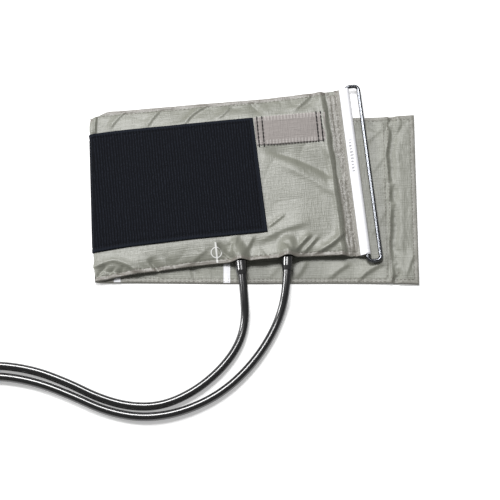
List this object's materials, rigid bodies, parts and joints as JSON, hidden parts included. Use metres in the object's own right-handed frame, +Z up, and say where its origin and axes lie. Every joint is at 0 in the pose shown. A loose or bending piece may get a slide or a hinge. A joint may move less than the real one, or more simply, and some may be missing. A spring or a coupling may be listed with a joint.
{
  "type": "blood pressure cuff",
  "caption": "Nylon arm cuff folded in two, with loop patch, hook end, metal bar ring, gauge strap, inner bladder and air tubes.",
  "frame": {"origin": "on the surface the cuff lies on, under the middle of the folded cuff's box, measured without the tubes and their connectors", "axes": "+X along the upper half from the fold to the ring, +Y across the cuff away from the tube exits, +Z up"},
  "size_m": [0.4376, 0.3149, 0.0135],
  "materials": {
    "cover_nylon": "woven, coated",
    "lining_nylon": "woven, coated",
    "bladder_rubber": "smooth",
    "port_rubber": "smooth",
    "tube_rubber": "satin",
    "connector_plastic": "moulded",
    "loop_pile": "brushed loop pile",
    "hook_tape": "woven hook tape",
    "navy_thread": "spun",
    "grey_thread": "spun",
    "black_thread": "spun",
    "strap_webbing": "ribbed webbing",
    "white_tape": "smooth tape",
    "white_ink": "screen print",
    "chromed_wire": "polished"
  },
  "bodies": {
    "cuff_body": {"outer_cover": "cover_nylon", "inner_lining": "lining_nylon", "bladder_back": "bladder_rubber", "bladder_front": "bladder_rubber", "bladder_port_1": "port_rubber", "bladder_port_2": "port_rubber", "tube_sleeve_1": "tube_rubber", "tube_sleeve_2": "tube_rubber", "tube_1": "tube_rubber", "tube_2": "tube_rubber", "tube_connector_1": "connector_plastic", "tube_connector_2": "connector_plastic", "loop_patch": "loop_pile", "patch_stitches": "navy_thread", "artery_mark": "white_ink", "hem_stitches": "grey_thread", "gauge_strap": "strap_webbing", "strap_stitches": "black_thread", "ring_hem": "cover_nylon", "index_tape": "white_tape"},
    "ring": {"ring": "chromed_wire"},
    "fold_spine": {"spine_lining": "lining_nylon", "spine_cover": "cover_nylon", "spine_patch": "loop_pile"},
    "tail": {"tail_cover": "cover_nylon", "tail_lining": "lining_nylon", "tail_patch": "loop_pile", "range_lines": "white_tape", "tail_stitches": "grey_thread"},
    "tail_end": {"hook_strip": "hook_tape", "tail_end_cover": "cover_nylon", "tail_end_lining": "lining_nylon", "hook_stitches": "grey_thread"}
  },
  "joints": [
    {"name": "ring_flip", "type": "hinge", "parent": "cuff_body", "child": "ring", "pos_m": [0.0855, 0.01199, 0.00545], "axis": [0, -1, 0], "range_deg": [0, 150]},
    {"name": "spine_fold", "type": "hinge", "parent": "cuff_body", "child": "fold_spine", "pos_m": [-0.13434, 0.01209, 0.00656], "axis": [0.0523, 0.9986, 0], "range_deg": [0, 90]},
    {"name": "tail_fold", "type": "hinge", "parent": "fold_spine", "child": "tail", "pos_m": [-0.13434, 0.01209, 0.00054], "axis": [0.0523, 0.9986, 0], "range_deg": [0, 90]},
    {"name": "hook_peel", "type": "hinge", "parent": "tail", "child": "tail_end", "pos_m": [0.10831, -0.01331, 0.0025], "axis": [-0.1045, -0.9945, 0], "range_deg": [0, 90]}
  ],
  "couplings": [
    {"joint": "spine_fold", "follows": "tail_fold", "ratio": 1}
  ]
}
